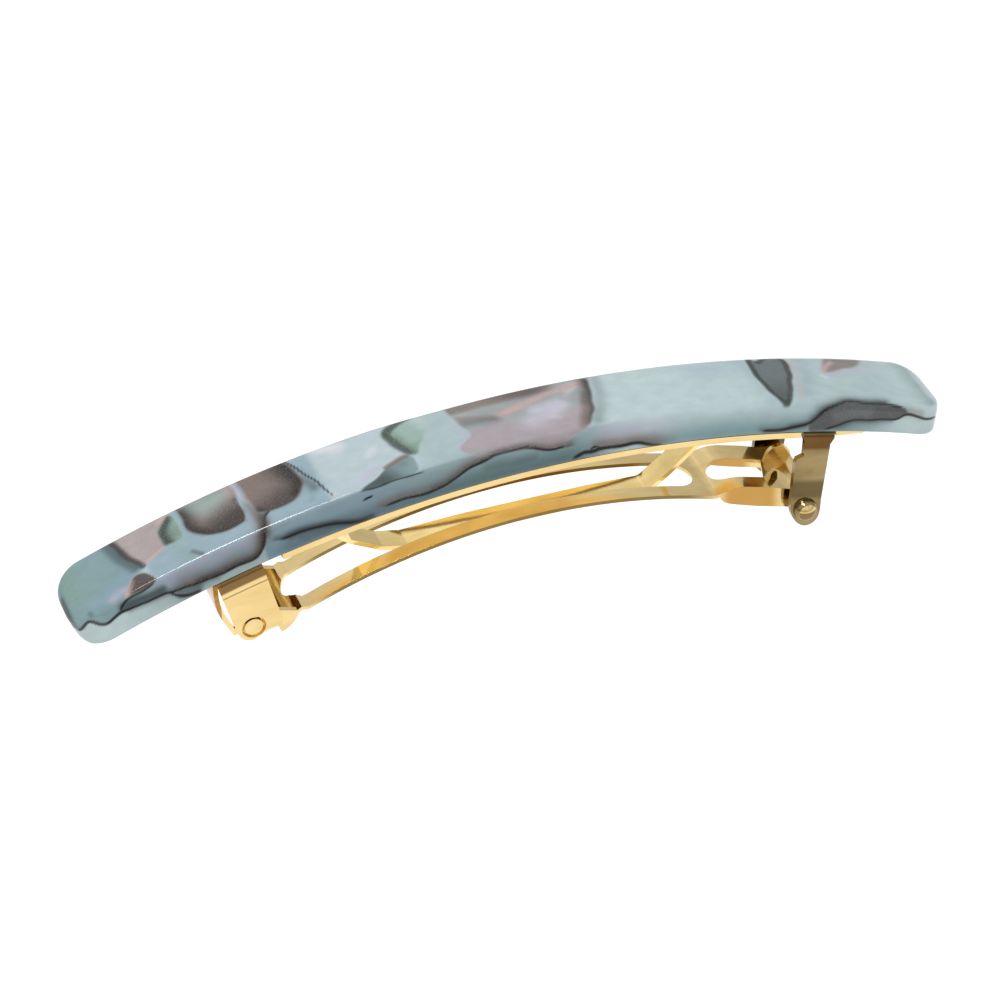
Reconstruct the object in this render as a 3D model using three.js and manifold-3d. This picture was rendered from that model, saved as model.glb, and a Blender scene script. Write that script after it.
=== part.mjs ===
// Curved hair barrette: an acetate bar on a French clip, closed.
// Millimetres. +X runs along the bar from the hinge end to the catch end, +Y is the far
// side, +Z is up. The origin is at the bottom centre of the whole object.
import * as THREE from 'three';
import { mergeVertices } from 'three/addons/utils/BufferGeometryUtils.js';
import Module from 'manifold-3d';

const wasm = await Module();
wasm.setup();

// ---- driving dimensions, mm and degrees ----
const BAR_LENGTH = 100.4; // measured along the top arc
const BAR_RADIUS = 131.8; // top arc
const BAR_TOP_WIDTH = 8.8;
const BAR_BOTTOM_WIDTH = 11.3;
const BAR_THICKNESS = 3.4;
const BAR_PLAN_RADIUS = 3.5; // corner radius of the ends seen from above
const BAR_NOSE_LENGTH = 3.8; // length of the rolled-over top at each end
const BAR_NOSE_DROP = 1.2;
const BAR_HEEL_RADIUS = 1.1; // rounding under each end
const BAR_EDGE_RADIUS = 0.45;

const GAP = 0.3; // clearance between neighbouring pieces
const PLATE_THICKNESS = 0.7;
const PLATE_WIDTH = 10.1;
const PLATE_TIP = 41.6; // arc position of the catch end of the base plate
const PLATE_TIP_CORNER = 1.4;
const PLATE_TIP_INSET = 0.85; // how much narrower each side is at the tip
const PLATE_SHOULDER = -27.5; // arc position where the plate reaches full width
const BEND_LAP = 0.2; // flat metal beside a bend, before the plate is cut away
const EAR_START = -35;
const EAR_END = -29.75;
const FLAP_ARC = -35.2;
const FLAP_THICKNESS = 0.5;
const FLAP_INSET = 0.3; // how much narrower each side is than the ears
const EAR_BEND = 1;
const EAR_BLANK = 10.5; // length of the sheet that the ears are cut from
const EAR_SAG = 0.014; // the straight bend line lies this far under the plate's arc
const PIVOT_ARC = -33.15;
const PIVOT_DEPTH = 11.05;
const PIVOT_HOLE_RADIUS = 1.3;
const PIVOT_PEG_RADIUS = 1;
const CHEEK_RADIUS = 1.5;

const ARM_WIDTH = 8.1;
const ARM_THICKNESS = 0.42;
const ARM_RADIUS = 65.2;
const ARM_APEX = 10.4; // depth of the arm's middle line at the centre
const ARM_SLOT_WIDTH = 4.5;
const ARM_SLOT_START = -25.5; // x of the slot ends
const ARM_SLOT_END = 20.6;
const FORK_SLOT_WIDTH = 3.5;
const FORK_SLOT_START = 22.3;
const FORK_SLOT_END = 29.3;
const FORK_SLOT_Y = -0.35; // the fork sits a little to the near side
const CHEEK_THICKNESS = 0.6;
const SKIRT_THICKNESS = 0.5;

const BOW_WIDTH = 2.8;
const BOW_THICKNESS = 0.5;

const PRONG_THICKNESS = 0.65;
const PRONG_BEND = 1;
const PRONG_START = 33.25;
const PRONG_END = 36.4;
const PRONG_NOTCH = 0.65; // width cut out of the plate on each side of a prong
const PRONG_BLANK = 13; // length of the sheet that a prong is cut from
const PRONG_SPLAY = 2; // outward lean of each catch prong, degrees
const DIMPLE_ARC = 35.6;
const DIMPLE_DEPTH = 13.35;
const DIMPLE_RADIUS = 1.35;
const DIMPLE_HOLLOW = 0.9;

const PLATE_TOP = BAR_THICKNESS + GAP;
const PLATE_BOTTOM = PLATE_TOP + PLATE_THICKNESS;

// ---- helpers ----
// Arc coordinates (arc length s along the bar's top, depth h below it) to x and z, with
// the top of the arc at x = 0, z = 0.
function atArc(s, h) {
  const angle = s / BAR_RADIUS;
  const r = BAR_RADIUS - h;
  return new THREE.Vector2(r * Math.sin(angle), r * Math.cos(angle) - BAR_RADIUS);
}

function clean(geometry) {
  geometry.deleteAttribute('normal');
  geometry.deleteAttribute('uv');
  return mergeVertices(geometry, 1e-4);
}

function solid(geometry) {
  const g = clean(geometry);
  const mesh = new wasm.Mesh({
    numProp: 3,
    vertProperties: new Float32Array(g.attributes.position.array),
    triVerts: new Uint32Array(g.index.array),
  });
  return new wasm.Manifold(mesh);
}

function fromSolid(body) {
  const mesh = body.getMesh();
  const g = new THREE.BufferGeometry();
  g.setAttribute('position', new THREE.BufferAttribute(mesh.vertProperties, 3));
  g.setIndex(new THREE.BufferAttribute(mesh.triVerts, 1));
  return g;
}

function extruded(shape, depth, curveSegments = 12) {
  return new THREE.ExtrudeGeometry(shape, { depth, bevelEnabled: false, curveSegments, steps: 1 });
}

// A side profile (x, z) made solid between y = y0 and y = y1.
function acrossY(shape, y0, y1) {
  const g = extruded(shape, y1 - y0);
  g.rotateX(Math.PI / 2);
  g.translate(0, y1, 0);
  return solid(g);
}

// An end profile (y, z) made solid between x = x0 and x = x1.
function alongX(shape, x0, x1) {
  const g = extruded(shape, x1 - x0);
  const basis = new THREE.Matrix4().makeBasis(
    new THREE.Vector3(0, 1, 0),
    new THREE.Vector3(0, 0, 1),
    new THREE.Vector3(1, 0, 0),
  );
  g.applyMatrix4(basis);
  g.translate(x0, 0, 0);
  return solid(g);
}

// A plan outline (x, y) made solid between z = z0 and z = z1.
function upZ(shape, z0, z1) {
  const g = extruded(shape, z1 - z0);
  g.translate(0, 0, z0);
  return solid(g);
}

function rod(radius, y0, y1, x, z, segments = 32) {
  const g = new THREE.CylinderGeometry(radius, radius, y1 - y0, segments, 1);
  g.translate(x, (y0 + y1) / 2, z);
  return solid(g);
}

function ball(radius, x, y, z) {
  const points = [];
  const steps = 14;
  for (let i = 0; i <= steps; i += 1) {
    const a = -Math.PI / 2 + (Math.PI * i) / steps;
    const onAxis = i === 0 || i === steps;
    points.push(new THREE.Vector2(onAxis ? 0 : radius * Math.cos(a), radius * Math.sin(a)));
  }
  const g = new THREE.LatheGeometry(points, 28);
  g.translate(x, y, z);
  return solid(g);
}

// A closed outline offset either side of a centre line, for sheet metal seen edge on.
function strip(line, thickness) {
  const half = thickness / 2;
  const upper = [];
  const lower = [];
  line.forEach((p, i) => {
    const before = line[Math.max(i - 1, 0)];
    const after = line[Math.min(i + 1, line.length - 1)];
    const t0 = p.clone().sub(before);
    const t1 = after.clone().sub(p);
    const tangent = t0.lengthSq() > 0 ? t0.clone().normalize() : new THREE.Vector2();
    if (t1.lengthSq() > 0) {
      tangent.add(t1.clone().normalize());
    }
    tangent.normalize();
    const normal = new THREE.Vector2(-tangent.y, tangent.x);
    upper.push(p.clone().addScaledVector(normal, half));
    lower.push(p.clone().addScaledVector(normal, -half));
  });
  return new THREE.Shape([...lower, ...upper.reverse()]);
}

// A polyline whose inner corners are replaced by arcs of the given radius.
function rounded(points, radius) {
  const out = [points[0].clone()];
  for (let i = 1; i < points.length - 1; i += 1) {
    const p = points[i];
    const a = points[i - 1].clone().sub(p).normalize();
    const b = points[i + 1].clone().sub(p).normalize();
    const half = Math.acos(THREE.MathUtils.clamp(a.dot(b), -1, 1)) / 2;
    const reach = radius / Math.tan(half);
    const middle = a.clone().add(b).normalize();
    const centre = p.clone().addScaledVector(middle, radius / Math.sin(half));
    const start = p.clone().addScaledVector(a, reach).sub(centre);
    const end = p.clone().addScaledVector(b, reach).sub(centre);
    let turn = end.angle() - start.angle();
    if (turn > Math.PI) {
      turn -= 2 * Math.PI;
    }
    if (turn < -Math.PI) {
      turn += 2 * Math.PI;
    }
    const steps = Math.ceil(Math.abs(turn) / 0.17);
    if (Math.abs(turn) < 0.06) {
      out.push(p.clone());
      continue;
    }
    for (let k = 0; k <= steps; k += 1) {
      out.push(start.clone().rotateAround(new THREE.Vector2(), (turn * k) / steps).add(centre));
    }
  }
  out.push(points[points.length - 1].clone());
  return out;
}

// Points along a smooth curve through the given ones.
function curve(points, steps) {
  return new THREE.SplineCurve(points).getPoints(steps);
}

function arcPoints(list) {
  return list.map(([s, h]) => atArc(s, h));
}

function arcLine(s0, s1, h, steps) {
  const points = [];
  for (let i = 0; i <= steps; i += 1) {
    points.push(atArc(s0 + ((s1 - s0) * i) / steps, h));
  }
  return points;
}

function slotShape(x0, x1, width) {
  const r = width / 2;
  const shape = new THREE.Shape();
  shape.moveTo(x0 + r, -r);
  shape.lineTo(x1 - r, -r);
  shape.absarc(x1 - r, 0, r, -Math.PI / 2, Math.PI / 2, false);
  shape.lineTo(x0 + r, r);
  shape.absarc(x0 + r, 0, r, Math.PI / 2, (3 * Math.PI) / 2, false);
  return shape;
}

// ---- acetate bar ----
function ease(distance, length) {
  const t = THREE.MathUtils.clamp(distance / length, 0, 1);
  return 1 - Math.sqrt(1 - t * t);
}

function barGeometry() {
  const stations = [];
  const straight = BAR_LENGTH / 2 - BAR_NOSE_LENGTH;
  for (let i = 0; i <= 9; i += 1) {
    stations.push(-straight - BAR_NOSE_LENGTH * Math.sin((Math.PI / 2) * (1 - i / 9)));
  }
  for (let i = 1; i < 44; i += 1) {
    stations.push(-straight + (2 * straight * i) / 44);
  }
  for (let i = 0; i <= 9; i += 1) {
    stations.push(straight + BAR_NOSE_LENGTH * Math.sin((Math.PI / 2) * (i / 9)));
  }
  const across = [-1, -0.985, -0.955, -0.9, -0.45, 0, 0.45, 0.9, 0.955, 0.985, 1];
  const down = [0, 0.035, 0.13, 0.5, 0.87, 0.965, 1];
  const nx = stations.length - 1;
  const ny = across.length - 1;
  const nz = down.length - 1;
  const g = new THREE.BoxGeometry(nx, ny, nz, nx, ny, nz);
  const p = g.attributes.position;
  for (let i = 0; i < p.count; i += 1) {
    const s = stations[Math.round(p.getX(i) + nx / 2)];
    const u = across[Math.round(p.getY(i) + ny / 2)];
    const v = down[Math.round(nz / 2 - p.getZ(i))];
    const out = Math.abs(s);
    const top = BAR_NOSE_DROP * ease(out - straight, BAR_NOSE_LENGTH);
    const heelStart = BAR_LENGTH / 2 - BAR_HEEL_RADIUS;
    const bottom = BAR_THICKNESS - BAR_HEEL_RADIUS * ease(out - heelStart, BAR_HEEL_RADIUS);
    const planStart = BAR_LENGTH / 2 - BAR_PLAN_RADIUS;
    const pinch = BAR_PLAN_RADIUS * ease(out - planStart, BAR_PLAN_RADIUS);
    const depth = top + (bottom - top) * v;
    const flare = ((BAR_BOTTOM_WIDTH - BAR_TOP_WIDTH) / 2) * (depth / BAR_THICKNESS);
    const half = BAR_TOP_WIDTH / 2 - pinch + flare;
    const r = Math.min(BAR_EDGE_RADIUS, (bottom - top) * 0.3, half * 0.6);
    let y = u * half;
    let h = depth;
    const cy = THREE.MathUtils.clamp(y, -(half - r), half - r);
    const ch = THREE.MathUtils.clamp(h, top + r, bottom - r);
    const dy = y - cy;
    const dh = h - ch;
    const reach = Math.hypot(dy, dh);
    if (dy !== 0 && dh !== 0) {
      const edge = Math.max(Math.abs(dy), Math.abs(dh));
      y = cy + (dy / reach) * edge;
      h = ch + (dh / reach) * edge;
    }
    const q = atArc(s, h);
    p.setXYZ(i, q.x, y, q.y);
  }
  return clean(g);
}

// ---- base plate with the two hinge ears and the rounded end flap ----
function basePlate() {
  const middle = (PLATE_TOP + PLATE_BOTTOM) / 2;
  const profile = strip(arcLine(FLAP_ARC, PLATE_TIP, middle, 60), PLATE_THICKNESS);
  const half = PLATE_WIDTH / 2;
  const band = acrossY(profile, -half, half);
  const xHinge = atArc(FLAP_ARC, PLATE_BOTTOM).x - 0.35;
  const xShoulder = atArc(PLATE_SHOULDER, PLATE_BOTTOM).x;
  const xProngA = atArc(PRONG_START, PLATE_BOTTOM).x - PRONG_NOTCH;
  const xProngB = atArc(PRONG_END, PLATE_BOTTOM).x + PRONG_NOTCH;
  const xTip = atArc(PLATE_TIP, PLATE_BOTTOM).x;
  const notch = half - EAR_BEND - BEND_LAP;
  const prongNotch = half - PRONG_BEND - BEND_LAP - GAP;
  const tipHalf = half - PLATE_TIP_INSET;
  const corner = PLATE_TIP_CORNER;
  const plan = new THREE.Shape();
  plan.moveTo(xHinge, -notch);
  plan.lineTo(xShoulder, -notch);
  plan.lineTo(xShoulder, -half + 0.25);
  plan.lineTo(xShoulder + 0.25, -half);
  plan.lineTo(xProngA, -half);
  plan.lineTo(xProngA, -prongNotch);
  plan.lineTo(xProngB, -prongNotch);
  plan.lineTo(xProngB, -half + 0.35);
  plan.lineTo(xTip - corner, -tipHalf);
  plan.absarc(xTip - corner, -tipHalf + corner, corner, -Math.PI / 2, 0, false);
  plan.absarc(xTip - corner, tipHalf - corner, corner, 0, Math.PI / 2, false);
  plan.lineTo(xProngB, half - 0.35);
  plan.lineTo(xProngB, prongNotch);
  plan.lineTo(xProngA, prongNotch);
  plan.lineTo(xProngA, half);
  plan.lineTo(xShoulder + 0.25, half);
  plan.lineTo(xShoulder, half - 0.25);
  plan.lineTo(xShoulder, notch);
  plan.lineTo(xHinge, notch);
  let body = band.intersect(upZ(plan, -40, 10));

  // The ears: a channel bent down from the plate, trimmed to the outline of one ear.
  const sEar = (EAR_START + EAR_END) / 2;
  const centre = atArc(sEar, PLATE_TOP);
  const drop = EAR_BLANK;
  const channel = new THREE.Shape();
  channel.moveTo(-half, -drop);
  channel.lineTo(-half, -EAR_BEND);
  channel.absarc(-half + EAR_BEND, -EAR_BEND, EAR_BEND, Math.PI, Math.PI / 2, true);
  channel.lineTo(half - EAR_BEND, 0);
  channel.absarc(half - EAR_BEND, -EAR_BEND, EAR_BEND, Math.PI / 2, 0, true);
  channel.lineTo(half, -drop);
  const inner = half - PLATE_THICKNESS;
  const innerBend = EAR_BEND - PLATE_THICKNESS;
  channel.lineTo(inner, -drop);
  channel.lineTo(inner, -EAR_BEND);
  channel.absarc(inner - innerBend, -EAR_BEND, innerBend, 0, Math.PI / 2, false);
  channel.lineTo(-inner + innerBend, -PLATE_THICKNESS);
  channel.absarc(-inner + innerBend, -EAR_BEND, innerBend, Math.PI / 2, Math.PI, false);
  channel.lineTo(-inner, -drop);
  const reach = (EAR_END - EAR_START) / 2 + 1;
  const tilt = (-sEar / BAR_RADIUS) * THREE.MathUtils.RAD2DEG;
  let ears = alongX(channel, -reach, reach);
  ears = ears.rotate([0, -tilt, 0]).translate([centre.x, 0, centre.y - EAR_SAG]);
  const foot = arcPoints([
    [EAR_START - 0.18, 10.6],
    [-34.8, 11.95],
    [-33.75, 12.55],
    [-32.45, 12.27],
    [-31.2, 12.2],
    [-30.3, 12.28],
    [EAR_END - 0.05, 11.85],
  ]);
  const outline = [
    atArc(EAR_START, PLATE_TOP - 0.5),
    atArc(EAR_START - 0.1, 9.8),
    ...curve(foot, 14),
    atArc(EAR_END, PLATE_TOP - 0.5),
  ];
  ears = ears.intersect(acrossY(new THREE.Shape(outline), -half - 1, half + 1));
  const pivot = atArc(PIVOT_ARC, PIVOT_DEPTH);
  ears = ears.subtract(rod(PIVOT_HOLE_RADIUS, -half - 1, half + 1, pivot.x, pivot.y));
  body = body.add(ears);

  // The end flap closes the hinge end: it bellies outwards and its foot is an arch.
  const belly = arcPoints([
    [FLAP_ARC, middle],
    [FLAP_ARC - 0.65, 7.4],
    [FLAP_ARC - 0.08, 11.2],
  ]);
  const flapHalf = half - FLAP_INSET;
  let flap = acrossY(strip(curve(belly, 8), FLAP_THICKNESS), -flapHalf, flapHalf);
  const archAt = atArc(FLAP_ARC - 0.3, 11.25);
  const arch = new THREE.Shape();
  arch.absellipse(0, archAt.y, flapHalf + 0.05, 1.6, 0, 2 * Math.PI, false);
  flap = flap.subtract(alongX(arch, archAt.x - 3, archAt.x + 3));
  return body.add(flap);
}

// ---- clasp arm ----
function armHeight(x) {
  return -ARM_APEX - (ARM_RADIUS - Math.sqrt(ARM_RADIUS * ARM_RADIUS - x * x));
}

// The middle line of the arm's sheet as (x, z) points, from the heel to the nose.
function armLine() {
  const line = [
    [-26.9, -17],
    [-26.15, -16.62],
    [-25.6, -16.08],
    [-25.25, -15.5],
    [-24.95, -15.08],
    [-24.5, -14.8],
  ];
  for (let i = 0; i <= 40; i += 1) {
    const x = -23.9 + (45.1 * i) / 40;
    line.push([x, armHeight(x)]);
  }
  line.push(
    [21.9, -14.08],
    [22.5, -14],
    [23.1, -13.85],
    [23.7, -13.76],
    [24.3, -13.76],
    [25.2, -13.9],
    [28.1, -14.82],
    [29.6, -15.42],
    [30.3, -15.68],
    [30.9, -15.78],
    [31.6, -15.8],
    [32.5, -15.8],
    [32.9, -15.93],
    [33.15, -16.25],
    [33.2, -16.75],
    [33.05, -17.35],
  );
  return line.map(([x, z]) => new THREE.Vector2(x, z));
}

function claspArm() {
  const half = ARM_WIDTH / 2;
  const line = armLine();
  let body = acrossY(strip(line, ARM_THICKNESS), -half, half);
  body = body.subtract(upZ(slotShape(ARM_SLOT_START, ARM_SLOT_END, ARM_SLOT_WIDTH), -20, 0));
  const forkHalf = FORK_SLOT_WIDTH / 2;
  const fork = new THREE.Shape();
  fork.moveTo(FORK_SLOT_START + forkHalf, FORK_SLOT_Y - forkHalf);
  fork.lineTo(FORK_SLOT_END - 1.2, FORK_SLOT_Y - forkHalf);
  fork.lineTo(FORK_SLOT_END, FORK_SLOT_Y + forkHalf);
  fork.lineTo(FORK_SLOT_START + forkHalf, FORK_SLOT_Y + forkHalf);
  fork.absarc(FORK_SLOT_START + forkHalf, FORK_SLOT_Y, forkHalf, Math.PI / 2, (3 * Math.PI) / 2, false);
  body = body.subtract(upZ(fork, -20, 0));

  // Side cheeks reach back to the pivot, with a peg standing out of each.
  const pivot = atArc(PIVOT_ARC, PIVOT_DEPTH);
  const cheek = new THREE.Shape();
  cheek.absarc(pivot.x, pivot.y, CHEEK_RADIUS, Math.PI * 0.45, Math.PI * 1.6, false);
  cheek.lineTo(-28.9, -16.2);
  cheek.lineTo(-27.3, -16.1);
  cheek.lineTo(-26.9, -17.1);
  cheek.lineTo(-26.1, -16.7);
  cheek.lineTo(-25.6, -16.15);
  cheek.lineTo(-25.2, -15.5);
  cheek.lineTo(-24.8, -15);

  // Side skirts stiffen the nose and give the thumb something to pull on.
  const skirt = new THREE.Shape();
  skirt.moveTo(22.3, -14.1);
  skirt.lineTo(22.42, -14.62);
  skirt.lineTo(22.78, -15.06);
  skirt.lineTo(23.4, -15.42);
  skirt.lineTo(24.13, -15.74);
  skirt.lineTo(26.4, -16.6);
  skirt.lineTo(29.03, -17.46);
  skirt.lineTo(30.3, -17.88);
  skirt.lineTo(31.4, -18.12);
  skirt.lineTo(32.3, -18.08);
  skirt.lineTo(32.9, -17.75);
  skirt.lineTo(33.15, -17.2);
  skirt.lineTo(33.2, -16.5);
  skirt.lineTo(32.9, -15.93);
  skirt.lineTo(32.5, -15.8);
  skirt.lineTo(30.9, -15.78);
  skirt.lineTo(29.6, -15.42);
  skirt.lineTo(28.1, -14.82);
  skirt.lineTo(25.2, -13.9);
  skirt.lineTo(24, -13.76);
  for (const side of [-1, 1]) {
    const inner = side * (half - CHEEK_THICKNESS);
    const outer = side * half;
    body = body.add(acrossY(cheek, Math.min(inner, outer), Math.max(inner, outer)));
    const tip = side * (PLATE_WIDTH / 2 - 0.05);
    const y0 = Math.min(outer - side * 0.2, tip);
    const y1 = Math.max(outer - side * 0.2, tip);
    body = body.add(rod(PIVOT_PEG_RADIUS, y0, y1, pivot.x, pivot.y));
    const skirtInner = side * (half - SKIRT_THICKNESS);
    body = body.add(acrossY(skirt, Math.min(skirtInner, outer), Math.max(skirtInner, outer)));
  }

  // Half-round stop standing on the far side of the nose, and a small tab on the near side.
  const stop = new THREE.Shape();
  stop.moveTo(30.12, -15.85);
  stop.absellipse(31.6, -15.7, 1.48, 1.5, Math.PI, 0.1, true);
  stop.lineTo(33.2, -16.1);
  stop.lineTo(33.2, -16.5);
  stop.lineTo(32.9, -15.93);
  stop.lineTo(32.5, -15.85);
  stop.lineTo(30.9, -15.85);
  body = body.add(acrossY(stop, 1.9, 2.4));
  const tab = new THREE.Shape();
  tab.moveTo(28.75, -15.1);
  tab.lineTo(28.95, -14.3);
  tab.lineTo(29.25, -13.95);
  tab.lineTo(29.6, -14.05);
  tab.lineTo(29.7, -14.5);
  tab.lineTo(29.65, -15.4);
  body = body.add(acrossY(tab, -2.3, -1.8));
  return body;
}

// ---- tension bow ----
function tensionBow() {
  const foot = PLATE_BOTTOM + GAP + BOW_THICKNESS / 2;
  const points = [
    atArc(-29, foot),
    atArc(-26, foot),
    atArc(-22.8, foot),
    new THREE.Vector2(-18.1, -9.95),
    new THREE.Vector2(-14.7, -11.85),
    new THREE.Vector2(-11.9, -12.5),
    new THREE.Vector2(-5, -12.4),
    new THREE.Vector2(4, -12.64),
    new THREE.Vector2(9, -12.8),
    new THREE.Vector2(15.1, -13.2),
    new THREE.Vector2(17.5, -11.5),
    atArc(23.9, foot),
    atArc(27, foot),
    atArc(30.3, foot),
  ];
  const line = rounded(points, 1.1);
  return acrossY(strip(line, BOW_THICKNESS), -BOW_WIDTH / 2, BOW_WIDTH / 2);
}

// ---- catch prongs ----
function catchProng() {
  const half = PLATE_WIDTH / 2;
  const sMid = (PRONG_START + PRONG_END) / 2;
  const root = atArc(sMid, PLATE_TOP);
  const tilt = (sMid / BAR_RADIUS) * THREE.MathUtils.RAD2DEG;
  const lean = Math.tan(PRONG_SPLAY * THREE.MathUtils.DEG2RAD);
  const drop = PRONG_BLANK;
  const t = PRONG_THICKNESS;
  const bend = PRONG_BEND;
  const leg = new THREE.Shape();
  const start = half - bend - BEND_LAP;
  leg.moveTo(start, -t);
  leg.lineTo(start, 0);
  leg.lineTo(half - bend, 0);
  leg.absarc(half - bend, -bend, bend, Math.PI / 2, 0, true);
  leg.lineTo(half + lean * (drop - bend), -drop);
  leg.lineTo(half - t + lean * (drop - bend), -drop);
  leg.lineTo(half - t, -bend);
  leg.absarc(half - bend, -bend, bend - t, 0, Math.PI / 2, false);
  let body = alongX(leg, -3.5, 4.5);
  body = body.rotate([0, tilt, 0]).translate([root.x, 0, root.y]);

  const foot = arcPoints([
    [33.5, 12.7],
    [33.92, 13.95],
    [35, 15.05],
    [36.2, 15.46],
    [37.3, 15.02],
    [37.72, 13.95],
    [37.4, 12.2],
  ]);
  const outline = [
    ...arcPoints([
      [PRONG_START - 0.35, PLATE_TOP - 1],
      [PRONG_START - 0.35, PLATE_BOTTOM + 0.1],
      [PRONG_START - 0.05, PLATE_BOTTOM + 0.6],
      [PRONG_START + 0.25, 6.7],
      [PRONG_START - 0.5, 7.1],
      [PRONG_START - 0.55, 7.5],
      [PRONG_START - 0.15, 10.3],
    ]),
    ...curve(foot, 18),
    ...arcPoints([
      [PRONG_END + 0.15, 6],
      [PRONG_END + 0.05, 5.2],
      [PRONG_END + 0.35, PLATE_BOTTOM + 0.1],
      [PRONG_END + 0.35, PLATE_TOP - 1],
    ]),
  ];
  body = body.intersect(acrossY(new THREE.Shape(outline), 0, 12));
  const dimple = atArc(DIMPLE_ARC, DIMPLE_DEPTH);
  const face = half + lean * (DIMPLE_DEPTH - PLATE_TOP - bend);
  body = body.add(ball(DIMPLE_RADIUS, dimple.x, face - 0.15, dimple.y));
  body = body.subtract(ball(DIMPLE_HOLLOW, dimple.x, face - t + 0.1, dimple.y));
  const trim = new THREE.Shape();
  trim.moveTo(dimple.x - 3, dimple.y - 3);
  trim.lineTo(dimple.x + 3, dimple.y - 3);
  trim.lineTo(dimple.x + 3, dimple.y + 3);
  trim.lineTo(dimple.x - 3, dimple.y + 3);
  body = body.subtract(acrossY(trim, 0, face - t - 0.02));
  return body;
}

// ---- assembly ----
const nodes = {
  acetate_bar: solid(barGeometry()),
  base_plate: basePlate(),
  clasp_arm: claspArm(),
  tension_bow: tensionBow(),
};
const prong = catchProng();
nodes.catch_prong_far = prong;
nodes.catch_prong_near = prong.mirror([0, 1, 0]);

let lowest = 0;
for (const body of Object.values(nodes)) {
  lowest = Math.min(lowest, body.boundingBox().min[2]);
}

const looks = {
  acetate_bar: { color: 0xa9c4c6, roughness: 0.18, metalness: 0 },
  base_plate: { color: 0xe3c27a, roughness: 0.16, metalness: 1 },
  clasp_arm: { color: 0xe3c27a, roughness: 0.16, metalness: 1 },
  tension_bow: { color: 0xe3c27a, roughness: 0.16, metalness: 1 },
  catch_prong_far: { color: 0xe3c27a, roughness: 0.16, metalness: 1 },
  catch_prong_near: { color: 0xe3c27a, roughness: 0.16, metalness: 1 },
};

const group = new THREE.Group();
group.name = 'barrette';
for (const [name, body] of Object.entries(nodes)) {
  const geometry = fromSolid(body.translate([0, 0, -lowest]));
  const mesh = new THREE.Mesh(geometry, new THREE.MeshStandardMaterial(looks[name]));
  mesh.name = name;
  mesh.material.name = `${name}_material`;
  group.add(mesh);
}

export default group;
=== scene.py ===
import math

import bpy
import numpy as np
from mathutils import Matrix, Vector


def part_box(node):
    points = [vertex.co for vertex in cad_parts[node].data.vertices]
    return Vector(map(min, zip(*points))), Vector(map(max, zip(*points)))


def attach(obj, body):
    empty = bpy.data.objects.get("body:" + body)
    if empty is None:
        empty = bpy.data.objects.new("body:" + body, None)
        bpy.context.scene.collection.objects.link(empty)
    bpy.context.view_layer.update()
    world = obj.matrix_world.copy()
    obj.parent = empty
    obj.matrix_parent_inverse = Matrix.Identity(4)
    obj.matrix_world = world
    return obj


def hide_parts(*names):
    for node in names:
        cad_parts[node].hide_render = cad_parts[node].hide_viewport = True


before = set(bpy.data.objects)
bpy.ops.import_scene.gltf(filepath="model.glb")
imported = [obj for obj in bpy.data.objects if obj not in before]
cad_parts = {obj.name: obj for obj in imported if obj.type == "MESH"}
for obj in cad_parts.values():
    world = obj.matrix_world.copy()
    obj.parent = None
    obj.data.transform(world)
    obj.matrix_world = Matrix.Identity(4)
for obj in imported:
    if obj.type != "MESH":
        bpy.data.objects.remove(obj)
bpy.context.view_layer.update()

MM = 0.001

# ---- camera: the photo's angle, a long lens from the front left and above ----
APEX = Vector((0.0, 0.0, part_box("acetate_bar")[1][2]))  # the top of the bar's arc
TURN = math.radians(19.47)
PITCH = math.radians(36.14)
ROLL = math.radians(-2.0)
CAMERA_DISTANCE = 0.41363
SENSOR_MM = 36.0
LENS_MM = 145.4545
SHIFT = (-0.011788, -0.079222)  # places the clip in the picture as the photo does


def make_camera():
    data = bpy.data.cameras.new("camera")
    camera = bpy.data.objects.new("camera", data)
    bpy.context.scene.collection.objects.link(camera)
    bpy.context.scene.camera = camera
    ahead = math.cos(PITCH)
    look = Vector((math.sin(TURN) * ahead, math.cos(TURN) * ahead, -math.sin(PITCH)))
    level = Vector((math.cos(TURN), -math.sin(TURN), 0.0))
    upright = level.cross(look)
    right = math.cos(ROLL) * level + math.sin(ROLL) * upright
    up = math.cos(ROLL) * upright - math.sin(ROLL) * level
    placed = Matrix((right, up, -look)).transposed().to_4x4()
    placed.translation = APEX - look * CAMERA_DISTANCE
    camera.matrix_world = placed
    data.sensor_width = SENSOR_MM
    data.lens = LENS_MM
    data.shift_x, data.shift_y = SHIFT
    data.clip_start, data.clip_end = 0.01, 10.0


make_camera()

# ---- marbling: pigment layers over the unrolled bar, s along it and w across it, in mm ----
FAR = 3.5  # beyond this distance a line has no effect
EDGE_W = 4.4  # w of the near and far top edges; beyond it w runs down the sides
RIPPLE = 0.045  # how far the drawn lines waver


def smooth(points, closed=False, rounds=2):
    """Rounds the corners of a drawn outline."""
    p = np.array(points, float)
    for _ in range(rounds):
        q = np.roll(p, -1, 0) if closed else p[1:]
        a = p if closed else p[:-1]
        cut = np.stack((0.75 * a + 0.25 * q, 0.25 * a + 0.75 * q), 1).reshape(-1, 2)
        p = cut if closed else np.vstack((p[:1], cut, p[-1:]))
    return p


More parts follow.
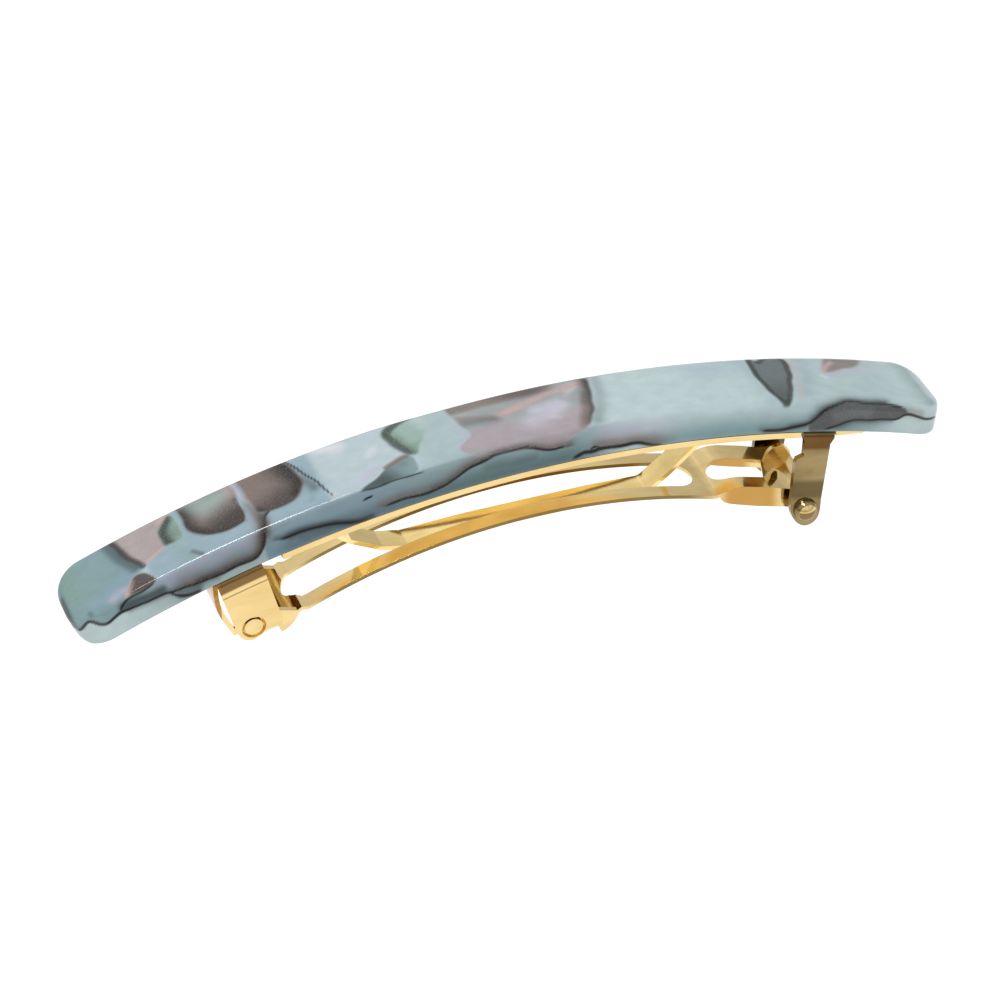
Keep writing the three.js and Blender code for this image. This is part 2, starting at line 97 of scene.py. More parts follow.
def distance(at, line):
    """Distance from each point to a polyline, and how far along the line its foot lies, 0 to 1."""
    best = np.full(len(at), FAR)
    along = np.zeros(len(at))
    low, high = line.min(0) - FAR, line.max(0) + FAR
    close = np.all((at > low) & (at < high), axis=1)
    at = at[close]
    near_best, near_along = best[close], along[close]
    total = np.linalg.norm(np.diff(line, axis=0), axis=1)
    start = np.concatenate(([0.0], np.cumsum(total)))
    for i in range(len(line) - 1):
        a, b = line[i], line[i + 1]
        span = b - a
        t = np.clip(((at - a) @ span) / max(span @ span, 1e-12), 0, 1)
        d = np.linalg.norm(at - a - t[:, None] * span, axis=1)
        nearer = d < near_best
        near_best = np.where(nearer, d, near_best)
        near_along = np.where(nearer, (start[i] + t * total[i]) / start[-1], near_along)
    best[close], along[close] = near_best, near_along
    return best, along


def inside(at, loop):
    """Whether each point lies inside a closed outline."""
    hit = np.zeros(len(at), bool)
    for a, b in zip(loop, np.roll(loop, -1, 0)):
        crosses = (a[1] > at[:, 1]) != (b[1] > at[:, 1])
        rise = b[1] - a[1] if abs(b[1] - a[1]) > 1e-9 else 1e-9
        hit ^= crosses & (at[:, 0] < a[0] + (at[:, 1] - a[1]) / rise * (b[0] - a[0]))
    return hit


def step(x, low, high):
    """A soft step from 0 at low to 1 at high."""
    t = np.clip((x - low) / (high - low), 0, 1)
    return t * t * (3 - 2 * t)


def blot(at, outline, soft):
    """1 inside the outline, falling to 0 over the soft width that straddles it."""
    loop = smooth(outline, closed=True)
    d, _ = distance(at, np.vstack((loop, loop[:1])))
    signed = np.where(inside(at, loop), d, -d)
    return step(signed, -soft / 2, soft / 2)


def stroke(at, points, width, soft, taper=0.0):
    """1 along a line of the given width, falling to 0 over the soft distance each side."""
    d, along = distance(at, smooth(points))
    ends = np.minimum(along, 1 - along)
    w = width / 2 * (step(ends, 0, taper) if taper else 1.0)
    k = 1.0 if not taper else step(ends, -0.01, taper * 0.5)
    return (1 - step(d, w, w + soft)) * k


def haze(at, points, reach):
    """A soft glow along a line, fading out over the reach."""
    d, _ = distance(at, smooth(points))
    return np.exp(-((d / reach) ** 2))


def above(at, points, soft=0.15):
    """1 on the side of larger w of a line that runs along the bar, else 0."""
    line = smooth(points)
    line = line[np.argsort(line[:, 0])]
    return step(at[:, 1] - np.interp(at[:, 0], line[:, 0], line[:, 1]), -soft, soft)


# Pigments mixed over the base in this order, as sRGB colours.
BASE = (0.725, 0.80, 0.805)
PIGMENTS = {
    "teal": (0.40, 0.545, 0.56),
    "sky": (0.53, 0.63, 0.72),
    "pearl": (0.87, 0.88, 0.90),
    "lilac": (0.74, 0.72, 0.81),
    "sage": (0.50, 0.62, 0.56),
    "taupe": (0.49, 0.43, 0.405),
    "rose": (0.77, 0.65, 0.645),
    "slate": (0.27, 0.30, 0.31),
    "umber": (0.085, 0.06, 0.045),
}

# Closed cells of colour, as (s, w) outlines.
CELL_END = [
    (-43.3, 6.8), (-42.9, 4.6), (-42.5, 3.4), (-42.3, 2), (-41.8, 0.5), (-41.3, -0.6), (-40.9, -1.6),
    (-40.5, -1.3), (-39.8, -0.9), (-38.7, -0.6), (-37.9, -0.3), (-38.1, 1.4), (-37.7, 2.7),
    (-36.4, 3.8), (-35.9, 4.6), (-35.5, 6), (-38, 7.3), (-41.3, 7.3),
]
CELL_SPROUT = [
    (-38.1, -0.45), (-38.1, 1.4), (-37.7, 2.7), (-36.9, 3.5), (-36.3, 3.9), (-35.9, 3),
    (-35.7, 1.4), (-35.8, 0), (-36.3, -0.7), (-37.2, -0.45),
]
CELL_EGG = [
    (-35.4, 6.5), (-35.2, 4.6), (-35.15, 2.5), (-35.2, 0.8), (-34.9, -0.4), (-34.1, -1.3), (-33, -2.1),
    (-31.7, -2.45), (-30.4, -2.4), (-29.4, -2.2), (-29.15, -1), (-29.3, 0.5), (-29.15, 2),
    (-29.2, 4.6), (-29.7, 6.5), (-32.5, 7.3),
]
CELL_CLOAK = [
    (-28.8, 6.8), (-28.6, 4.6), (-28.45, 2), (-28.3, 0), (-28.2, -1.6), (-27.3, -2.2), (-26.3, -2.5),
    (-25.2, -2.5), (-24.1, -2.2), (-23.2, -1.5), (-22.6, -0.6), (-22.4, 0.6), (-22.6, 2), (-23, 3.5),
    (-23.6, 4.8), (-24.5, 6.6), (-26.6, 7.3),
]
CELL_PEBBLE = [
    (-43.8, -4.75), (-43.2, -3.8), (-42.7, -2.9), (-42, -2.35), (-41.3, -2.5), (-40.7, -3.1),
    (-40.35, -4), (-40.25, -4.75),
]
CELL_ARROW = [
    (-9.6, 4.7), (-11.2, 3.9), (-12.5, 3.4), (-12.9, 2.5), (-12.5, 1.2), (-12, 0.1), (-11.5, -1.1),
    (-11, -2), (-10.3, -1.8), (-9.8, -0.7), (-8.9, 0.6), (-7.9, 2), (-7.3, 3.4), (-7.8, 4.8),
]
CELL_FIN = [
    (-18, -4.8), (-16.9, -4.1), (-15.6, -3.65), (-14.7, -3.1), (-14, -2.5), (-12.9, -1.8),
    (-11.8, -1.5), (-11.1, -2.1), (-11, -3.3), (-11.3, -4.8), (-14.5, -4.85),
]
CELL_FAN = [
    (-5.6, 6.4), (-5.6, 4.6), (-5.3, 2.5), (-4.9, 0.4), (-4.2, -1.3), (-5.2, -2.2), (-6.5, -3.1),
    (-5.8, -4.3), (-4.4, -5.15), (-2, -5.1), (0, -5.2), (1.6, -5.7), (3.1, -6), (4.7, -6.1), (5.2, -5.3),
    (6.6, -4.9), (7.6, -4.2), (8.4, -3), (9, -2), (9.5, -0.2), (10, 1.6), (10.35, 3.2), (10.1, 3.95),
    (8.2, 4.5), (7.2, 6.4),
]
CELL_HEART = [
    (29.9, -4.95), (29.2, -3.6), (28.8, -2.2), (28.55, -0.4), (28.5, 1.6), (28.75, 3.2), (29.05, 4.5),
    (29.3, 4.1), (29.6, 3.5), (30, 3.3), (30.4, 3.75), (31, 4.25), (32.1, 4.4), (33, 4.05),
    (33.3, 3), (33.2, 1.9), (32.8, 0.5), (32.2, -0.8), (31.5, -2.3), (30.8, -3.9), (30.3, -4.9),
]
CELL_WING = [
    (36.8, 0.9), (37.3, 2.3), (38.2, 3.9), (39.3, 6), (41.5, 6.9), (43.2, 5.6), (42.9, 3.8),
    (41.9, 2.5), (39.6, 1.6), (38, 1.1),
]

# Dark veins, as (s, w) lines.
VEIN_HEM = [
    (-49.7, -5.8), (-48.9, -5.3), (-48.3, -4.95), (-47.9, -5.15), (-47.4, -5.7), (-46.7, -6.05),
    (-45.7, -5.7), (-44.9, -5.55), (-44, -5.78), (-42.6, -5.92), (-41.2, -5.95), (-40, -6.05),
    (-39.2, -6.38), (-37.8, -6.4), (-36.6, -6.72), (-34.6, -6.92), (-32.8, -6.82), (-31, -6.97),
    (-29.9, -6.85), (-29.2, -6.35), (-28.5, -5.55), (-28.15, -4.7), (-27.95, -3.6), (-27.6, -2.8),
    (-27, -2.35),
]
VEIN_LOBE = [(-39.6, -6.2), (-39.2, -6.75), (-38.7, -7.15), (-38, -7.38), (-36.6, -7.45)]
VEIN_POCKET = [(-45.1, -5.5), (-44.4, -5.1), (-43.4, -4.85), (-41.9, -4.83), (-40.5, -4.62)]
VEIN_SAW = [
    (-23.7, 5.2), (-23.1, 4), (-22.5, 2.8), (-22.1, 1.5), (-21.6, 0.3), (-21.2, -0.8), (-20.9, -1.8),
    (-20.6, -3.1), (-20.3, -4.35),
]
VEIN_DRIFT = [
    (-27.4, -6.1), (-26, -6.15), (-24.2, -6.3), (-22.8, -6.42), (-21.5, -6.75), (-20.2, -7.15),
    (-18.8, -7.45), (-17.3, -7.6),
]
VEIN_DASH = [(-17.9, -5.62), (-17.2, -5.52), (-16.5, -5.42)]
VEIN_LEDGE = [(-18.1, -4.72), (-15.5, -4.78), (-12.6, -4.77), (-11.3, -4.79), (-10.5, -5)]
VEIN_SWELL = [
    (-15.8, -6.87), (-14.8, -6.8), (-13.4, -6.87), (-11.6, -6.98), (-10, -7), (-9, -6.85), (-8.2, -6.45),
    (-7.2, -6.12), (-5.6, -5.68), (-4, -5.38), (-2.4, -5.16), (-0.9, -5.12), (0.6, -5.32), (2, -5.8),
    (3.1, -6), (4.3, -6), (4.9, -6.15),
]
VEIN_ROOT = [
    (5.2, -7.6), (5.9, -7.3), (6.6, -7), (7.4, -7.15), (8.2, -7.05), (9.4, -7.1), (11.9, -7.08),
    (13.1, -7.18), (14, -7.45), (15.6, -7.7),
]
VEIN_KNOT = [(7.4, -7.05), (7.35, -6.8), (7.7, -6.68), (8.2, -6.85), (8.5, -7.05)]
VEIN_TAIL = [
    (27.2, -7.47), (29, -7.42), (30.6, -7.28), (31.9, -7.1), (32.9, -6.8), (33.5, -6.4), (34.3, -5.75),
    (35.2, -5.25), (36.1, -4.85), (37, -4.58), (37.9, -4.5), (39, -4.62), (40.4, -4.72), (42, -4.73),
    (43.3, -4.88), (44.3, -5.02),
]
VEIN_KEEL = [
    (34.6, -7.6), (35.6, -7.3), (36.6, -6.95), (37.8, -6.65), (39, -6.48), (41, -6.4), (43, -6.35),
    (43.9, -6.15), (44.5, -5.75), (45, -5.68), (46, -5.82), (47.4, -5.98), (49.4, -6),
]
VEINS = (
    # line, width, soft edge, taper at the ends
    (VEIN_HEM, 0.1, 0.2, 0.0),
    (VEIN_LOBE, 0.08, 0.25, 0.1),
    (VEIN_POCKET, 0.06, 0.2, 0.15),
    (VEIN_SAW, 0.1, 0.14, 0.25),
    (VEIN_DRIFT, 0.08, 0.3, 0.15),
    (VEIN_DASH, 0.1, 0.12, 0.4),
    (VEIN_LEDGE, 0.07, 0.14, 0.25),
    (VEIN_SWELL, 0.1, 0.18, 0.06),
    (VEIN_ROOT, 0.14, 0.24, 0.08),
    (VEIN_KNOT, 0.08, 0.14, 0.2),
    (VEIN_TAIL, 0.11, 0.24, 0.05),
    (VEIN_KEEL, 0.1, 0.18, 0.05),
)

# Dark rims of the arrow and the heart, as (s, w) lines.
ARROW_RIM = [
    (-8.6, 4.5), (-10, 4.25), (-11.8, 3.55), (-12.55, 2.6), (-12.3, 1.3), (-11.8, 0), (-11.3, -1.2),
    (-10.9, -1.9),
]
HEART_LEFT_RIM = [
    (29.9, -4.8), (29.35, -3.6), (29, -2.2), (28.8, -0.4), (28.75, 1.6), (28.95, 3.2), (29.2, 4.4),
]
HEART_RIGHT_RIM = [
    (30, 3.2), (30.5, 3.6), (31.1, 4.1), (32, 4.2), (32.8, 3.9), (33.05, 3), (32.95, 1.9), (32.55, 0.5),
    (31.9, -0.9), (31.2, -2.4), (30.55, -3.9), (30.1, -4.8),
]

# Soft glows of pigment, as rows of pigment, amount, reach and line.
GROUND_GLOWS = (
    ("sky", 0.5, 0.8, [(-46.5, -3.4), (-44.5, -2.6), (-42.5, -2.1)]),
    ("sage", 0.55, 0.9, [(-48.3, 4), (-48.6, 1), (-48.6, -1)]),
    ("lilac", 0.55, 0.6, [(-45, -3.9), (-43.6, -3.6)]),
    ("sage", 0.35, 0.8, [(-36.9, -1.5), (-36.3, -3.4)]),
    ("lilac", 0.6, 0.45, [(-28.9, 4.5), (-28.8, 1.5)]),
    ("taupe", 0.9, 0.75, [(-28.2, 0), (-28.1, -2), (-28.15, -3.6), (-28.4, -5.2)]),
    ("umber", 0.55, 0.4, [(-27.7, -1.8), (-27.8, -3.4), (-28.1, -5)]),
    ("slate", 0.3, 0.4, [(-28.1, -1), (-28.1, -3.4), (-28.3, -4.6)]),
    ("pearl", 0.8, 0.9, [(-19.6, 4.2), (-17.6, 3.2)]),
    ("pearl", 0.5, 0.6, [(-15.2, 0.2), (-14.2, 1.2)]),
    ("lilac", 0.5, 0.7, [(-16.8, -2.9), (-15.6, -2.2)]),
    ("sky", 0.35, 1.0, [(-21, 1), (-19.8, -3)]),
    ("lilac", 0.35, 0.7, [(-5.3, 2), (-5.1, -1)]),
    ("sky", 0.3, 0.9, [(35, 3), (34.3, 0), (33.2, -3)]),
    ("rose", 0.28, 0.55, [(33.9, 3.6), (33.1, -0.5), (32, -3.6)]),
    ("sky", 0.3, 1.8, [(23, 2), (27, 3.5)]),
)
EGG_GLOWS = (
    ("rose", 0.3, 0.7, [(-29.6, 5), (-29.6, 1)]),
    ("umber", 1.0, 1.25, [(-35.2, 3), (-35, 0), (-33.2, -2), (-31, -2.5), (-29.4, -2.2)]),
    ("umber", 0.7, 0.9, [(-29.3, -2), (-29.2, 0), (-29.3, 1.4)]),
)
CLOAK_GLOWS = (
    ("umber", 0.95, 0.95, [(-27.9, -1.6), (-26.9, -2.4), (-25.5, -2.6), (-23.6, -2), (-22, -1)]),
    ("umber", 1.0, 1.7, [(-24, 5), (-23.1, 2.6), (-22.6, 0.6), (-23.4, -1.2)]),
)
FAN_SHADES = (
    ("taupe", 0.6, 0.8, [(3.4, 1.2), (5.6, 1.5)]),
    ("umber", 0.62, 1.3, [(0.6, 4.6), (2.8, 3.6), (5, 4.2)]),
    ("taupe", 0.72, 1.1, [(-5, 1.6), (-3, 1), (-1.5, 0.4)]),
    ("slate", 0.5, 0.7, [(-4.4, 0.6), (-2.6, 0.5), (-1.2, 0.1)]),
    ("umber", 0.4, 0.9, [(1, 4.6), (4.5, 4.5)]),
    ("rose", 0.85, 0.5, [(-0.5, 0.5), (2, 1.3), (4.6, 2.2), (7.2, 2.7), (9.4, 3)]),
)
FAN_FOLDS = (
    ("lilac", 0.7, 1.2, [(3.4, 0), (6.3, 0.2), (5, -0.9), (2.5, -1.7), (1, -2.9)]),
    ("lilac", 0.6, 1.0, [(4.5, -3), (3, -3.8)]),
    ("pearl", 0.6, 1.0, [(3.4, 0.2), (6, 0.4), (4.4, -0.8)]),
    ("pearl", 0.7, 0.4, [(7, 1.4), (8.2, 2.4), (9.3, 3.2)]),
    ("pearl", 0.4, 0.9, [(3.2, -3), (4.2, -4.6), (5, -5)]),
    ("umber", 0.95, 1.0, [(8.2, -3.9), (9.2, -2), (9.9, 0.8), (10.2, 3.6)]),
    ("taupe", 0.9, 0.9, [(6.9, -4), (8.1, -1.8), (9, 1)]),
)


def between(x, rise, fall):
    """1 between a soft rise and a soft fall along x, else 0."""
    return step(x, *rise) * (1 - step(x, *fall))


class PaintedBar:
    """Amounts of pigment, 0 to 1, at the points (s, w) of the unrolled bar."""

    def __init__(self, s, w):
        ripple_s = np.sin(2.1 * w + 0.9 * s) + np.sin(1.3 * s + 2.0)
        ripple_w = np.sin(1.7 * s + 0.6 * w) + np.sin(2.9 * w)
        self.s, self.w = s, w
        self.at = np.stack((s, w), 1) + RIPPLE * np.stack((ripple_s, ripple_w), 1)
        self.side = step(-w, EDGE_W - 0.1, EDGE_W + 0.3)
        self.top = 1 - self.side
        self.layers = {name: np.zeros(len(s)) for name in PIGMENTS}

    def add(self, name, amount):
        """Raises a pigment to an amount, where it is lower."""
        self.layers[name] = np.maximum(self.layers[name], amount)

    def clear(self, names, amount):
        """Takes away a share, 0 to 1, of each named pigment."""
        for name in names:
            self.layers[name] = self.layers[name] * (1 - amount)

    def blot(self, outline, soft):
        return blot(self.at, outline, soft)

    def haze(self, line, reach):
        return haze(self.at, line, reach)

    def stroke(self, line, width, soft, taper=0.0):
        return stroke(self.at, line, width, soft, taper)

    def above(self, line, soft=0.15):
        return above(self.at, line, soft)

    def cell(self, outline, name, soft, amount=1.0):
        """Fills an outline with one pigment, and returns where the outline lies."""
        mask = self.blot(outline, soft)
        self.clear(PIGMENTS, mask * amount)
        self.add(name, mask * amount)
        return mask

    def glows(self, table, where=1.0):
        """Adds soft glows along lines, from rows of pigment, amount, reach and line."""
        for name, amount, reach, line in table:
            self.add(name, amount * where * self.haze(line, reach))


def paint_ground(bar):
    """Teal at the hinge end, pearly in the second quarter, clear aqua towards the catch end."""
    middle = step(bar.s, -41, -40) * (1 - step(bar.s, -21.2, -20.2) * bar.top) * (1 - step(bar.s, -16, -8))
    pale = between(bar.s, (-21.2, -20.2), (-13, -9)) * bar.top
    bar.add("teal", 0.75 * (1 - step(bar.s, -42.5, -40)))
    bar.add("sky", 0.42 * middle)
    bar.add("teal", 0.42 * middle)
    bar.add("pearl", 0.12 * pale)
    bar.add("sky", 0.22 * pale)
    bar.add("teal", 0.3 * between(bar.s, (-13, -9), (8, 10.5)))
    bar.add("teal", 0.18 * between(bar.s, (26.5, 28.5), (42, 46)))
    bar.add("teal", 0.45 * step(bar.s, 45, 48.5) * bar.top)
    bar.glows(GROUND_GLOWS)


def paint_near_side_shade_and_hem(bar):
    """Painted shade: the near side is laid with teal and slate that deepen towards its lower edge, where
    it turns from the light; it is clear below the hem.
    """
    # Painted shade: teal and slate along the near side, deeper towards its lower edge.
    deep = step(-bar.w, 4.7, 7.4)
    bar.add("teal", (0.5 + 0.45 * deep) * bar.side * (1 - step(bar.s, 4, 14)))
    bar.add("slate", 0.22 * bar.side * between(bar.s, (-45, -40), (6, 14)))
    bar.add("slate", 0.55 * deep * bar.side * between(bar.s, (-30, -26), (4, 12)))
    bar.add("teal", (0.05 + 0.75 * deep) * bar.side * between(bar.s, (8, 20), (36, 46)))
    below_hem = (1 - bar.above(VEIN_HEM, 0.1)) * (1 - step(bar.s, -29.3, -28.7))
    bar.clear(("teal", "sky", "lilac"), below_hem)
    bar.add("teal", 0.3 * below_hem * step(bar.s, -41, -38))
    bar.add("slate", 0.75 * below_hem * bar.haze([(-38.6, -7), (-36.8, -7.1)], 0.7))


def paint_end_cell(bar):
    """The rosy cell at the hinge end, with a dark rim and a teal shade before it."""
    bar.cell(CELL_END, "taupe", 0.25, 0.52)
    bar.add("rose", 0.42 * bar.blot(CELL_END, 0.4))
    bar.add("rose", 0.95 * bar.stroke([(-40.8, -1.4), (-39.6, -0.95), (-38, -0.5)], 0.14, 0.3))
    bar.add("rose", 0.8 * bar.haze([(-37.6, 3.5), (-36.3, 4.3)], 0.5))
    bar.add("umber", 0.86 * bar.stroke(CELL_END[:7], 0.22, 0.45))
    outside = 1 - bar.blot(CELL_END, 0.3)
    bar.add("teal", outside * bar.haze([(-43.9, 6), (-43.4, 3), (-42.7, 0.5), (-41.9, -1.4)], 1.0))
    bar.add("slate", 0.7 * outside * bar.haze([(-43.5, 6), (-43, 3), (-42.3, 0.5), (-41.6, -1.2)], 0.7))


def paint_sprout(bar):
    """The small green cell between the end cell and the egg."""
    bar.cell(CELL_SPROUT, "sage", 0.35, 0.95)
    sprout = bar.blot(CELL_SPROUT, 0.5)
    rim = [(-37.5, -0.4), (-37.75, 1.2), (-37.4, 2.5), (-36.5, 3.7)]
    bar.add("umber", 0.85 * sprout * bar.stroke(rim, 0.3, 0.9))
    bar.add("slate", 0.35 * sprout * bar.haze([(-37.2, 2), (-36.6, 0.8)], 0.8))


def paint_egg(bar):
    """The egg has a green sheen at its upper left and deepens to umber at its rims."""
    egg = bar.cell(CELL_EGG, "taupe", 0.32)
    sheen = egg * bar.haze([(-33.8, 4.6), (-32.6, 2.4), (-31.2, 3.2)], 1.6)
    bar.clear(["taupe"], 0.75 * sheen)
    bar.add("sage", 0.6 * sheen)
    bar.add("umber", 0.9 * egg * step(-bar.w + 0.4 * (bar.s + 32), -2.6, 1.8))
    bar.glows(EGG_GLOWS, egg)
    bar.add("umber", 0.85 * (0.35 + 0.65 * egg) * bar.stroke(CELL_EGG[1:10], 0.08, 0.35))


def paint_cloak(bar):
    """The cloak is lilac beside the egg, and darkest along its lower and right rims."""
    cloak = bar.cell(CELL_CLOAK, "taupe", 0.7)
    bar.add("lilac", 0.6 * cloak * (1 - step(bar.s, -28.6, -25.6)) * step(bar.w, -1.5, 2.5))
    bar.add("umber", 0.75 * cloak * step(-bar.w + 0.5 * (bar.s + 26), -2.2, 2.0))
    bar.glows(CLOAK_GLOWS, cloak)
    shade = [(-22.2, 2.6), (-21.6, 0.6), (-21.6, -1.6), (-22.6, -3.2)]
    bar.add("teal", 0.6 * (1 - cloak) * bar.haze(shade, 0.9))
    before_saw = 1 - step(bar.s, -21.5, -20.9)
    bar.add("umber", 0.5 * before_saw * bar.haze([(-22.5, 0.6), (-22.1, -0.6), (-21.7, -1.4)], 0.7))


def paint_pebble(bar):
    """The pebble on the near edge, and the small dark specks of the hinge end."""
    pebble = bar.cell(CELL_PEBBLE, "taupe", 0.25)
    bar.add("umber", 0.62 * pebble * step(bar.s, -43.6, -42.2))
    bar.add("rose", 0.75 * bar.stroke([(-43.6, -4.6), (-43, -3.7), (-42.5, -2.9)], 0.2, 0.35))
    bar.add("umber", 0.6 * bar.haze([(-35.7, -3.1), (-35, -3.9)], 0.32))
    bar.add("umber", 0.4 * bar.haze([(-47.8, -4.1), (-47.75, -4.5)], 0.25))
    bar.add("umber", 0.95 * step(-bar.s, 49.3, 50) * step(-bar.w, -3.4, -0.6) * step(bar.w, -6, -5.4))


def paint_arrow(bar):
    """The green arrow, which fades into the ground towards its tail."""
    arrow = bar.cell(CELL_ARROW, "sage", 0.5)
    bar.clear(["sage"], 0.35 * bar.haze([(-10.6, 2.8), (-10, 0.8)], 1.0))
    bar.add("umber", 0.62 * arrow * bar.haze([(-12.2, 1.2), (-11.6, -0.2), (-11.1, -1.4)], 0.75))
    bar.clear(PIGMENTS, 0.85 * arrow * step(bar.s + 0.5 * bar.w, -9.4, -6.6))
    bar.add("teal", 0.3 * arrow * step(bar.s, -9, -7))
    bar.add("umber", 0.8 * bar.stroke(ARROW_RIM, 0.5, 0.5, 0.12))


def paint_fin(bar):
    """The teal fin under the arrow, dark at its tip."""
    fin = bar.cell(CELL_FIN, "teal", 0.35, 0.75)
    bar.add("umber", 0.68 * fin * (1 - step(bar.s + 0.9 * bar.w, -18.6, -15.6)))
    bar.add("slate", 0.4 * fin * bar.haze([(-15, -3.4), (-12.6, -2.6)], 1.2))
    crest = [(-14.5, -2.8), (-13.3, -2.05), (-12.2, -1.65), (-11.3, -1.9)]
    bar.add("taupe", 0.85 * bar.stroke(crest, 0.3, 0.4, 0.2))


def paint_fan(bar):
    """The fan is dark at the far edge and at its right rim, with a rosy streak and pearly folds."""
    fan = bar.cell(CELL_FAN, "taupe", 0.45, 0.5)
    low = step(-bar.w, 0.2, 1.4)
    bar.add("lilac", 0.5 * fan * low)
    bar.add("taupe", 0.35 * fan * low)
    bar.add("taupe", 0.95 * fan * step(bar.w, 1.4, 3.2) * (1 - step(bar.s, 4.5, 9)))
    bar.glows(FAN_SHADES, fan)
    bar.clear(("taupe", "umber"), 0.6 * fan * bar.haze([(7.4, 2.6), (8.6, 2.9)], 0.7))
    fold = [(3.4, -0.2), (6.3, 0.2), (5, -1), (2, -1.8)]
    bar.clear(("teal", "taupe", "slate"), 0.9 * fan * bar.haze(fold, 1.1))
    bar.add("rose", 0.2 * fan * low)
    bar.glows(FAN_FOLDS, fan)
    bar.add("pearl", 0.8 * fan * bar.stroke([(3.8, -1.35), (4.8, -1.9), (5.6, -2.3)], 0.25, 0.55, 0.3))
    ray = [(-6.6, -3.1), (-4.8, -2.15), (-3.1, -1.2), (-1.7, -0.5), (-0.4, -0.4)]
    bar.add("lilac", 0.8 * bar.stroke(ray, 0.25, 0.6, 0.1))
    bar.add("umber", 0.7 * bar.stroke([(7.2, 4.7), (9, 4.25), (10.2, 3.85), (10.7, 4.4)], 0.16, 0.35))
    bar.add("slate", 0.34 * (1 - fan) * bar.haze([(8.8, -3.6), (10, -1.4), (10.8, 1.4), (11, 3.4)], 0.75))


def paint_heart(bar):
    """The dark green heart near the catch end."""
    heart = bar.cell(CELL_HEART, "slate", 0.3, 0.8)
    bar.add("sage", 0.4 * heart)
    bar.add("umber", 0.4 * heart * step(-bar.w, -0.5, 3))
    bar.add("umber", 0.8 * bar.stroke(HEART_LEFT_RIM, 0.28, 0.35))
    bar.add("umber", 0.72 * bar.stroke(HEART_RIGHT_RIM, 0.35, 0.35))
    bar.add("rose", 0.9 * bar.haze([(29.7, 4.6), (30, 3.9)], 0.36))
    bar.add("pearl", 0.6 * bar.haze([(29.8, 4.4), (30, 3.8)], 0.25))


def paint_wing(bar):
    """The rosy wing beyond the heart."""
    wing = bar.cell(CELL_WING, "taupe", 0.7, 0.85)
    bar.add("umber", 0.35 * wing * bar.haze([(39, 4.5), (42, 4.8)], 0.9))
    bar.add("rose", 0.85 * bar.haze([(36.9, 1.2), (37.6, 2.1), (38.6, 2.9)], 0.35))
    bar.add("lilac", 0.55 * bar.haze([(37.2, 0.75), (40, 1.3), (43, 2)], 0.4))
    bar.add("pearl", 0.55 * bar.haze([(36.4, 0.3), (36.7, 0)], 0.35))


def paint_hem_shade(bar):
    """Shade that lies against the upper edge of the hem vein."""
    over = bar.above(VEIN_HEM)
    bar.add("lilac", 0.5 * over * bar.side * bar.haze([(-39.5, -4.9), (-34, -4.9), (-29.8, -4.9)], 0.7))
    bar.add("taupe", 0.95 * over * bar.side * bar.haze(VEIN_HEM[13:23], 1.1))
    bar.add("umber", 0.85 * over * bar.haze(VEIN_HEM[14:25], 0.62))
    bar.add("umber", 0.55 * bar.haze(VEIN_HEM[8:16], 0.4))
    bar.add("slate", 0.9 * over * bar.haze([(-44.6, -5.3), (-42.5, -5.4), (-40, -5.6)], 0.45))


def paint_middle_shade(bar):
    """Shade against the drift, swell and root veins of the near side."""
    over = bar.above(VEIN_SWELL)
    bar.add("taupe", 0.85 * over * bar.haze(VEIN_SWELL, 0.85))
    bar.add("umber", 0.5 * over * bar.haze(VEIN_SWELL[4:], 0.5))
    bar.add("slate", 0.6 * (1 - over) * bar.haze([(-4, -6.3), (-1.5, -6.5), (1, -6.6)], 1.0))
    over = bar.above(VEIN_DRIFT)
    bar.add("slate", 0.9 * over * bar.haze(VEIN_DRIFT, 0.6))
    bar.add("umber", 0.6 * bar.haze(VEIN_DRIFT[1:], 0.45))
    bar.add("slate", 0.65 * (1 - over) * bar.haze([(-25, -7), (-22, -7.2)], 0.8))
    over = bar.above(VEIN_ROOT)
    taupe_line = [(8, -6.7), (13, -6.8), (17, -7.2)]
    bar.add("taupe", 0.85 * over * (1 - step(bar.s, 13, 18.5)) * bar.haze(taupe_line, 0.8))
    bar.add("lilac", 0.5 * (1 - step(bar.s, 12, 20)) * bar.haze([(9, -5.5), (14, -5.6), (19, -6)], 0.9))
    umber_line = [(12, -7.3), (15, -7.5), (18.5, -7.8)]
    bar.add("umber", 0.5 * over * (1 - step(bar.s, 14, 18)) * bar.haze(umber_line, 0.5))


def paint_tail(bar):
    """The violet band between the tail and keel veins, and the shade around them."""
    outline = VEIN_TAIL[4:] + [(45, -5.6)] + VEIN_KEEL[8::-1] + [(33, -7.9)]
    band = bar.blot(outline, 0.2)
    bar.clear(PIGMENTS, band)
    bar.add("slate", 0.75 * band)
    bar.add("taupe", 0.6 * band)
    bar.add("umber", 0.35 * band * (1 - bar.haze([(36, -6), (40, -5.6)], 0.6)))
    bar.add("lilac", 0.42 * band * bar.haze([(35, -6.9), (37, -5.7), (40.5, -5.6)], 0.5))
    over = bar.above(VEIN_TAIL)
    bar.add("slate", 0.75 * over * bar.haze(VEIN_TAIL[5:14], 0.8))
    bar.add("slate", 0.6 * over * bar.haze(VEIN_TAIL[:7], 0.5))
    bar.add("umber", 0.7 * bar.haze(VEIN_TAIL[2:14], 0.34))
    bar.add("umber", 0.55 * bar.haze(VEIN_KEEL[:7], 0.35))
    bar.add("taupe", 0.5 * bar.haze([(44.6, -5.4), (46.6, -5.6)], 0.5))
    under_keel = (1 - bar.above(VEIN_KEEL)) * (1 - step(bar.s, 41, 44))
    bar.add("slate", 0.55 * under_keel * bar.haze(VEIN_KEEL[2:8], 0.75))


def paint_veins(bar):
    """The dark veins, drawn last."""
    for line, width, soft, taper in VEINS:
        bar.add("umber", bar.stroke(line, width, soft, taper))


